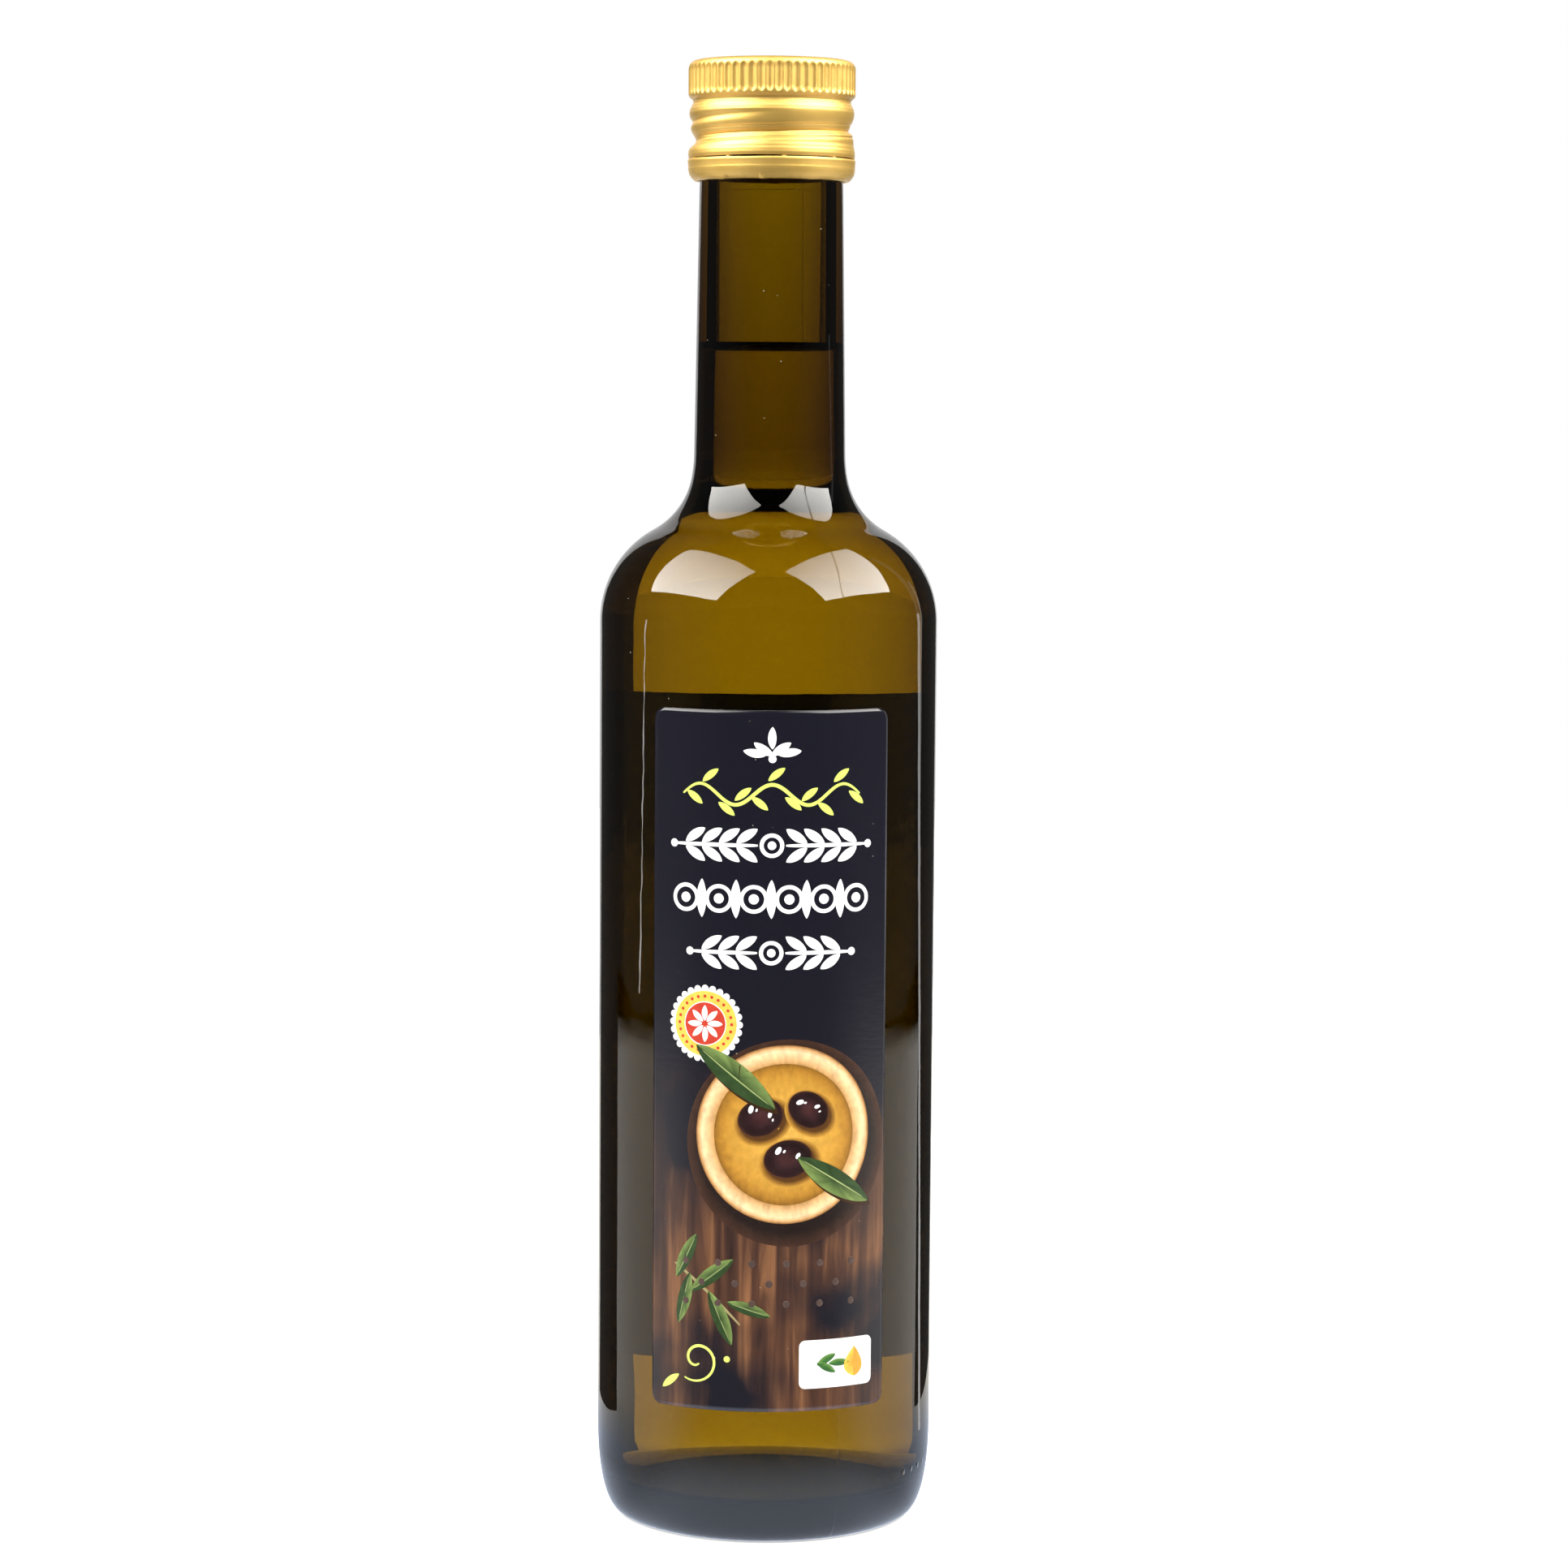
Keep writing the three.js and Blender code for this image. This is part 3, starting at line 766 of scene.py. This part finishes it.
# Label print: ornaments and a bowl of olives in oil, laid down in flat inks that overlap. Places on
# the label are millimetres right of its middle and down from its top.
CREAM = (0.66, 0.66, 0.66)
LIME = (0.50, 0.60, 0.12)
GOLD_INK = (0.66, 0.40, 0.06)
RED_BROWN = (0.40, 0.035, 0.018)
PALE_WOOD = (0.52, 0.31, 0.135)
OIL_INK = (0.43, 0.225, 0.028)
OLIVE_INK = (0.013, 0.005, 0.006)
LEAF_DARK = (0.022, 0.046, 0.014)
LEAF_LIGHT = (0.125, 0.185, 0.05)
PRINT_STEP = 0.015
OVERLAP_STEP = 0.0001
CUT_STEP = 1.2
FRUIT_GLOW = ((0, (0.05, 0.018, 0.004)), (0.98, (0.07, 0.028, 0.005)), (1.14, (0.22, 0.10, 0.012)),
              (1.30, (0.42, 0.22, 0.028)))
FRUIT_SKIN = ((0, (0.038, 0.012, 0.013)), (0.25, (0.034, 0.011, 0.012)), (0.5, (0.022, 0.008, 0.009)),
              (0.75, OLIVE_INK), (0.93, (0.018, 0.007, 0.006)), (1.0, (0.06, 0.020, 0.009)))
FRUIT_SHINE = (0.66, 0.65, 0.68)
SHINES = ((-0.40, 0.44, 0.17), (-0.16, 0.40, 0.07), (0.40, 0.16, 0.13), (0.52, -0.12, 0.06))
BOWL_SHADE = ((0, (0.012, 0.007, 0.006)), (1.0, (0.012, 0.007, 0.006)), (1.16, (0.040, 0.018, 0.011)))
BOWL_RIM = ((0.78, (0.25, 0.125, 0.03)), (0.80, (0.40, 0.22, 0.075)), (0.84, PALE_WOOD),
            (0.89, (0.60, 0.41, 0.21)), (0.93, (0.64, 0.46, 0.26)), (0.965, PALE_WOOD),
            (0.985, (0.33, 0.165, 0.055)), (1.0, (0.15, 0.065, 0.02)))
BOWL_OIL = ((0, (0.50, 0.285, 0.045)), (0.1, (0.50, 0.285, 0.045)), (0.2, (0.49, 0.275, 0.042)),
            (0.3, (0.47, 0.26, 0.038)), (0.4, (0.45, 0.24, 0.033)), (0.5, OIL_INK),
            (0.58, (0.40, 0.205, 0.024)), (0.66, (0.36, 0.175, 0.019)), (0.72, (0.30, 0.14, 0.014)),
            (0.77, (0.22, 0.098, 0.010)), (0.79, (0.16, 0.07, 0.008)))
BOWL_FRUITS = ((-4.6, -3.2, 8.8, 7.0, 24, 1.6), (4.4, -4.6, 8.2, 6.6, -32, 1.8), (0.6, 4.6, 9.2, 7.2, 8, 2.0))
BOWL_LEAVES = ((-9.4, -10.6, 19, 5.0, -38), (9.6, 8.8, 17, 4.6, 148))
LEAF_SHADE = (0.03, 0.012, 0.004)
BOWL_LEAF_VEIN = (0.24, 0.30, 0.11)
TWIG = (0.24, 0.20, 0.09)
TWIG_LEAVES = ((1.5, -7.0, 9.5, 2.6, 64, 0), (6.6, -3.6, 10.5, 2.8, 38, 0.15),
               (1.0, 1.0, 10.0, 2.7, -104, 0.3), (8.2, 4.4, 11, 2.9, -66, 0.45),
               (13.6, 2.6, 8.5, 2.3, -18, 0.6))
TWIG_LEAF_VEIN = (0.18, 0.23, 0.085)
GREEN_DARK = (0.030, 0.105, 0.024)
GREEN_LIGHT = (0.105, 0.225, 0.045)
DROP_DARK = (0.46, 0.24, 0.025)
DROP_LIGHT = (0.66, 0.40, 0.05)


class Print:
    def __init__(self):
        self.form = bmesh.new()
        self.ink = self.form.verts.layers.float_color.new("ink")
        self.laid = 0

    def lay(self, verts, colour, layer, place, turn=0, stretch=(1, 1)):
        for v in verts:
            v[self.ink] = (*colour, 1)
        bmesh.ops.scale(self.form, verts=verts, vec=(*stretch, 1))
        bmesh.ops.rotate(self.form, verts=verts, cent=(0, 0, 0),
                         matrix=Matrix.Rotation(math.radians(turn), 3, "Z"))
        self.laid += 1
        lift = LABEL_THICKNESS + PRINT_STEP * layer + OVERLAP_STEP * self.laid
        bmesh.ops.translate(self.form, verts=verts, vec=(place[0], LABEL_HALF_HEIGHT - place[1], lift))
        return verts

    def disc(self, colour, layer, place, radius, turn=0, stretch=(1, 1), sides=24):
        made = bmesh.ops.create_circle(self.form, cap_ends=True, segments=sides, radius=radius)
        return self.lay(made["verts"], colour, layer, place, turn, stretch)

    def dish(self, rings, layer, place, turn=0, stretch=(1, 1), sides=96):
        before = set(self.form.verts)
        spun(self.form, [(radius, 0, 0) for radius, colour in rings], sides)
        made = [v for v in self.form.verts if v not in before]
        colours = []
        for v in made:
            reach = math.hypot(v.co.x, v.co.y)
            colours.append(min(rings, key=lambda ring: abs(ring[0] - reach))[1])
        self.lay(made, rings[0][1], layer, place, turn, stretch)
        for v, colour in zip(made, colours):
            v[self.ink] = (*colour, 1)
        return made

    def ring(self, colour, layer, place, radius, width):
        edges = (radius - width / 2, radius + width / 2)
        return self.dish([(edge, colour) for edge in edges], layer, place, sides=30)

    def leaf(self, layer, place, length, width, turn, dark=LEAF_DARK, light=LEAF_LIGHT):
        made = bmesh.ops.create_circle(self.form, cap_ends=True, cap_tris=True, segments=36,
                                       radius=1)["verts"]
        upper = [v.co.y > 0.01 for v in made]
        for v in made:
            v.co.y *= abs(v.co.y) ** 0.55
            v.co.y += 0.10 * (1 - v.co.x ** 2)
        self.lay(made, dark, layer, place, turn, (length / 2, width / 2))
        for v, lit in zip(made, upper):
            v[self.ink] = (*(light if lit else dark), 1)
        return made

    def ribbon(self, colour, layer, path, width, steps):
        made = bmesh.ops.create_grid(self.form, x_segments=steps, y_segments=1, size=1)["verts"]
        for v in made:
            t = (v.co.x + 1) / 2
            side = v.co.y
            here = Vector(path(t))
            ahead = (Vector(path(t + 0.002)) - here).normalized()
            taper = width / 2 * (0.45 + 0.55 * math.sin(math.pi * min(1, max(0, t))) ** 0.5)
            v.co = (here.x - side * taper * ahead.y, here.y + side * taper * ahead.x, 0)
        return self.lay(made, colour, layer, (0, 0))

    def done(self, name, turn, material):
        bmesh.ops.remove_doubles(self.form, verts=self.form.verts, dist=1e-4)
        for i in range(int(2 * LABEL_HALF_WIDTH / CUT_STEP)):
            cut = -LABEL_HALF_WIDTH + (i + 0.5) * CUT_STEP
            everything = self.form.verts[:] + self.form.edges[:] + self.form.faces[:]
            bmesh.ops.bisect_plane(self.form, geom=everything, dist=1e-6, plane_co=(cut, 0, 0),
                                   plane_no=(1, 0, 0))
        wrapped(self.form, turn)
        inward = []
        for face in self.form.faces:
            middle = face.calc_center_median()
            if face.normal.x * middle.x + face.normal.y * middle.y < 0:
                inward.append(face)
        bmesh.ops.reverse_faces(self.form, faces=inward)
        return finished(name, self.form, material)


print_ink, ink_tree, ink_shader, ink_place = coated_paper("label ink")
ink_colour = add_node(ink_tree, "Attribute", attribute_name="ink")["Color"]
ink_shift = graded(ink_tree, mottle(ink_tree, ink_place, 900, 4), (0.3, 0.7), (0.88, 1.06))
ink_toned = add_node(ink_tree, "VectorMath", {0: ink_colour, "Scale": ink_shift}, operation="SCALE")["Vector"]
feed(ink_tree, ink_shader, {"Base Color": ink_toned})


def round_about(place, reach, turn):
    return place[0] + reach * math.cos(turn), place[1] + reach * math.sin(turn)


def sprig(sheet, place, size, colour):
    for side in (-1, 1):
        for turn, reach in ((14, 0.72), (48, 0.52)):
            along = math.radians(turn)
            centre = (place[0] + side * reach * size * math.cos(along),
                      place[1] - reach * size * math.sin(along) * 0.7)
            tilt = turn * 0.7 if side > 0 else 180 - turn * 0.7
            sheet.leaf(1, centre, size * 0.95, size * 0.34, tilt, colour, colour)
    sheet.leaf(1, (place[0], place[1] - size * 0.72), size * 0.9, size * 0.34, 90, colour, colour)
    sheet.disc(colour, 1, (place[0], place[1] + size * 0.12), size * 0.16)


def vine(sheet, down):
    def stem(t):
        return -17 + 34 * t, -down + 1.9 * math.sin(t * 5 * math.pi)
    sheet.ribbon(LIME, 1, stem, 0.7, 110)
    for i in range(11):
        x, y = stem((i + 0.5) / 11)
        side = 1 if i % 2 else -1
        sheet.leaf(2, (x + 0.8, -y - side * 1.9), 3.9, 1.35, 38 * side, LIME, LIME)


def laurel(sheet, down, reach):
    for side in (-1, 1):
        sheet.ribbon(CREAM, 1, lambda t: (side * (2.6 + (reach - 2.6) * t), -down), 0.75, 24)
        count = int((reach - 2.6) / 3.3)
        for i in range(count):
            middle = side * (4.6 + 3.3 * i)
            for up in (-1, 1):
                tilt = 34 * up if side < 0 else 180 - 34 * up
                sheet.leaf(1.3, (middle, down - up * 1.75), 4.7, 1.75, tilt, CREAM, CREAM)
        sheet.disc(CREAM, 1.3, (side * (reach + 0.3), down), 0.75)
    sheet.ring(CREAM, 1, (0, down), 1.9, 0.75)
    sheet.disc(CREAM, 1, (0, down), 0.8)


def rings_and_leaves(sheet, down, count, reach):
    span = 2 * reach / (count - 1)
    for i in range(count):
        middle = -reach + span * i
        sheet.ring(CREAM, 1, (middle, down), 2.3, 0.75)
        sheet.disc(CREAM, 1, (middle, down), 0.95)
        if i < count - 1:
            sheet.leaf(1, (middle + span / 2, down), 7.2, 1.9, 90, CREAM, CREAM)


def medallion(sheet, place, radius):
    for i in range(28):
        sheet.disc(CREAM, 1, round_about(place, radius, 2 * math.pi * i / 28), radius * 0.1)
    sheet.dish([(0, CREAM), (radius, CREAM)], 1.3, place)
    sheet.ring(GOLD_INK, 2, place, radius * 0.78, radius * 0.30)
    sheet.dish([(0, RED_BROWN), (radius * 0.6, RED_BROWN)], 2.4, place)
    for i in range(8):
        turn = 45 * i
        petal = round_about(place, radius * 0.3, math.radians(-turn))
        sheet.leaf(3, petal, radius * 0.44, radius * 0.17, turn, CREAM, CREAM)
    for i in range(24):
        sheet.disc(RED_BROWN, 3, round_about(place, radius * 0.78, 2 * math.pi * i / 24), radius * 0.045)


def grained(sheet, verts, along, across, depth, seed):
    for v in verts:
        streak = noise.noise((v.co.x * across, v.co.y * along, seed))
        r, g, b, a = v[sheet.ink]
        k = 1 + depth * streak
        v[sheet.ink] = (r * k, g * k, b * k, a)


def fruit(sheet, place, length, width, turn, layer):
    size = (length / 2, width / 2)
    sheet.dish(FRUIT_GLOW, layer, (place[0] + 0.5, place[1] + 0.7), turn, size, 40)
    body = sheet.dish(FRUIT_SKIN, layer + 0.35, place, turn, size, 40)
    grained(sheet, body, 0.5, 0.5, 0.5, 3.3)
    for across, up, spot in SHINES:
        shine = (place[0] + across * length / 2, place[1] - up * width / 2)
        sheet.disc(FRUIT_SHINE, layer + 0.7, shine, spot * width / 2, turn + 50, (1.35, 0.8), 14)


def bowl(sheet, place, radius):
    size = (radius, radius)
    shade = sheet.dish(BOWL_SHADE, 0.5, (place[0] + 0.8, place[1] + 1.6), 0, size)
    grained(sheet, shade, 0.1, 2.0, 0.3, 1.1)
    wood = sheet.dish(BOWL_RIM, 1, place, 0, size, 180)
    grained(sheet, wood, 0.35, 2.4, 0.30, 2.2)
    pool = sheet.dish(BOWL_OIL, 1.3, place, 0, size, 180)
    grained(sheet, pool, 0.5, 1.7, 0.22, 5.1)
    for across, down, length, width, turn, layer in BOWL_FRUITS:
        fruit(sheet, (place[0] + across, place[1] + down), length, width, turn, layer)
    for across, down, length, width, turn in BOWL_LEAVES:
        x, y = place[0] + across, place[1] + down
        sheet.leaf(3.2, (x + 0.6, y + 0.8), length, width, turn, LEAF_SHADE, LEAF_SHADE)
        blade = sheet.leaf(3.5, (x, y), length, width, turn)
        grained(sheet, blade, 1.1, 1.1, 0.5, 7.7)
        sheet.disc(BOWL_LEAF_VEIN, 3.8, (x, y), 1, turn, (length * 0.43, 0.13), 16)


def branch(sheet, place):
    def twig(t):
        return place[0] - 1 + 13 * t, -place[1] + 5.5 - 8 * t - 3 * t * t
    sheet.ribbon(TWIG, 1, twig, 0.55, 30)
    for across, down, length, width, turn, lift in TWIG_LEAVES:
        spot = (place[0] + across, place[1] + down)
        blade = sheet.leaf(1.3 + lift, spot, length, width, turn)
        grained(sheet, blade, 0.9, 0.9, 0.6, 9.1)
        sheet.disc(TWIG_LEAF_VEIN, 1.42 + lift, spot, 1, turn, (length * 0.42, 0.11), 12)


def small_panel(sheet, place, width, height):
    for across in (-1, 1):
        for along in (-1, 1):
            corner = (place[0] + across * (width / 2 - 1.2), place[1] + along * (height / 2 - 1.2))
            sheet.disc(CREAM, 1, corner, 1.2)
    for wide, high in ((width, height - 2.4), (width - 2.4, height)):
        made = bmesh.ops.create_grid(sheet.form, x_segments=1, y_segments=1, size=0.5)["verts"]
        sheet.lay(made, CREAM, 1, place, 0, (wide, high))
    for turn, reach in ((28, -0.24), (-28, -0.24), (0, -0.08)):
        blade = round_about((place[0] + reach * width, place[1]), 1.6, math.radians(-turn))
        sheet.leaf(2, blade, height * 0.46, height * 0.15, turn, GREEN_DARK, GREEN_LIGHT)
    middle = place[0] + width * 0.24
    drop = sheet.leaf(2, (middle, place[1]), height * 0.62, height * 0.40, 90, DROP_DARK, DROP_LIGHT)
    for v in drop:
        below = LABEL_HALF_HEIGHT - place[1] - v.co.y
        v.co.x = middle + (v.co.x - middle) * (1 + 0.16 * below)


def curl(sheet, place):
    def tendril(t):
        reach = 4.4 * (1 - 0.82 * t)
        return round_about((place[0], -place[1]), reach, 7.4 * t - 2.2)
    sheet.ribbon(LIME, 1, tendril, 0.55, 70)
    sheet.leaf(1, (place[0] - 5.6, place[1] + 4.6), 4.6, 1.4, 38, LIME, LIME)
    sheet.disc(LIME, 1, (place[0] + 5.8, place[1] - 0.4), 0.6)


front_print = Print()
sprig(front_print, (0, 8.4), 4.6, CREAM)
vine(front_print, 15.6)
laurel(front_print, 25.0, 18.6)
rings_and_leaves(front_print, 35.0, 6, 16.4)
laurel(front_print, 45.0, 15.2)
medallion(front_print, (-12.4, 58.5), 6.6)
bowl(front_print, (2.8, 79.0), 16.8)
branch(front_print, (-17.4, 109.5))
small_panel(front_print, (13.2, 122.6), 15.0, 9.2)
curl(front_print, (-13.6, 122.0))
front_ink = front_print.done("front_label_print", 0, print_ink)

back_print = Print()
sprig(back_print, (0, 8.4), 4.6, CREAM)
vine(back_print, 15.6)
laurel(back_print, 26.0, 18.6)
rings_and_leaves(back_print, 39.0, 6, 16.4)
laurel(back_print, 52.0, 18.6)
small_panel(back_print, (0, 74.0), 34.0, 16.0)
branch(back_print, (-9.0, 104.0))
curl(back_print, (11.6, 120.0))
back_ink = back_print.done("back_label_print", math.pi, print_ink)


# Raised dots: three rows of clear varnish dots that stand up from the front label and can be felt.
# They are spaced evenly, in a plain pattern.
DOT_ROWS = ((103.4, 6), (107.2, 5), (111.0, 6))
DOT_RADIUS = 0.68
DOT_FLATNESS = 0.15
DOT_SPACING = 6.4
VARNISH_TONES = ((0, (0.035, 0.024, 0.022, 1)), (1, (0.085, 0.052, 0.042, 1)))

dot_form = bmesh.new()
for down, count in DOT_ROWS:
    for i in range(count):
        dot = bmesh.ops.create_uvsphere(dot_form, u_segments=16, v_segments=8, radius=DOT_RADIUS)["verts"]
        bmesh.ops.scale(dot_form, verts=dot, vec=(1, 1, DOT_FLATNESS))
        across = (i - (count - 1) / 2) * DOT_SPACING
        bmesh.ops.translate(dot_form, verts=dot, vec=(across, LABEL_HALF_HEIGHT - down, LABEL_THICKNESS))
wrapped(dot_form, 0)
smoothed(dot_form)
dot_varnish, varnish_tree, varnish_shader, varnish_place = coated_paper("clear varnish")
varnish_tone = toned(varnish_tree, mottle(varnish_tree, varnish_place, 300), VARNISH_TONES)
feed(varnish_tree, varnish_shader, {"Base Color": varnish_tone})
dots = finished("raised_dots", dot_form, dot_varnish)


# Dust: a few tiny pale flecks that lie flat on the outside of the glass and on the front label,
# left there by handling.
FLECK_COUNT = 60
FLECK_SEED = 7
FLECK_ANGLES = (-66, 66)
FLECK_HEIGHTS = (6, 250)
FLECK_SIZES = (0.035, 0.085)
FLECK_STRETCHES = (0.6, 2.4)
DUST_TONES = ((0, (0.16, 0.14, 0.08, 1)), (1, (0.42, 0.40, 0.32, 1)))

draw = random.Random(FLECK_SEED)
skin = [point for point in outside if point[1] > 4 and point[0] > 13]
fleck_form = bmesh.new()
for i in range(FLECK_COUNT):
    angle = math.radians(draw.uniform(*FLECK_ANGLES))
    z = draw.uniform(*FLECK_HEIGHTS)
    r = radius_at(skin, z)
    if LABEL_BOTTOM_Z < z < LABEL_TOP_Z and abs(angle) < math.radians(LABEL_HALF_ANGLE):
        r = LABEL_INNER + LABEL_THICKNESS + 0.02
    fleck = bmesh.ops.create_icosphere(fleck_form, subdivisions=1, radius=draw.uniform(*FLECK_SIZES))["verts"]
    bmesh.ops.scale(fleck_form, verts=fleck, vec=(draw.uniform(*FLECK_STRETCHES), 0.35, 1))
    bmesh.ops.rotate(fleck_form, verts=fleck, cent=(0, 0, 0),
                     matrix=Matrix.Rotation(draw.uniform(0, 3.1), 3, "Y"))
    bmesh.ops.translate(fleck_form, verts=fleck, vec=(0, -r, z))
    bmesh.ops.rotate(fleck_form, verts=fleck, cent=(0, 0, 0), matrix=Matrix.Rotation(angle, 3, "Z"))
bmesh.ops.scale(fleck_form, verts=fleck_form.verts, vec=(MM, MM, MM))
bmesh.ops.recalc_face_normals(fleck_form, faces=fleck_form.faces)
dust, dust_tree, dust_shader = new_material("pale dust", {"Roughness": 0.9})
dust_cloud = mottle(dust_tree, add_node(dust_tree, "TexCoord")["Object"], 900)
feed(dust_tree, dust_shader, {"Base Color": toned(dust_tree, dust_cloud, DUST_TONES)})
flecks = finished("dust_flecks", fleck_form, dust)
